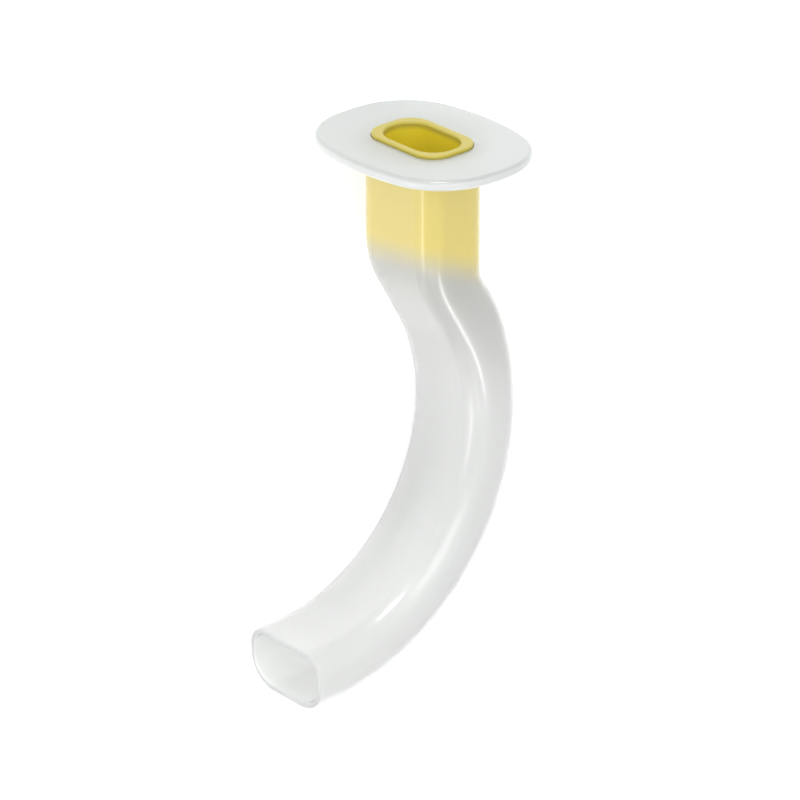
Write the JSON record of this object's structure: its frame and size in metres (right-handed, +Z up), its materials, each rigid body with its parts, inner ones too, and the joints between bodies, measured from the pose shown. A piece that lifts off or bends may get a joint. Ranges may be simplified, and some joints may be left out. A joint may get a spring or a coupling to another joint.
{
  "type": "oropharyngeal airway",
  "caption": "Curved, flattened tube of translucent plastic with an oval flange and a coloured bite block in its mouth, which keeps a patient's airway open.",
  "frame": {"origin": "centre of the bounding box at table level, with the airway lying on its side as it comes to rest", "axes": "+X from the flange to the tip, -Y towards the side that the tip curves to, +Z up from the table"},
  "size_m": [0.0924, 0.046, 0.0361],
  "materials": {
    "milky_polyethylene": "translucent milky polyethylene, smooth and softly glossy as moulded",
    "yellow_polypropylene": "opaque yellow polypropylene, softly glossy as moulded"
  },
  "bodies": {
    "root": {"airway_body": "milky_polyethylene", "bite_block_insert": "yellow_polypropylene"}
  },
  "joints": []
}
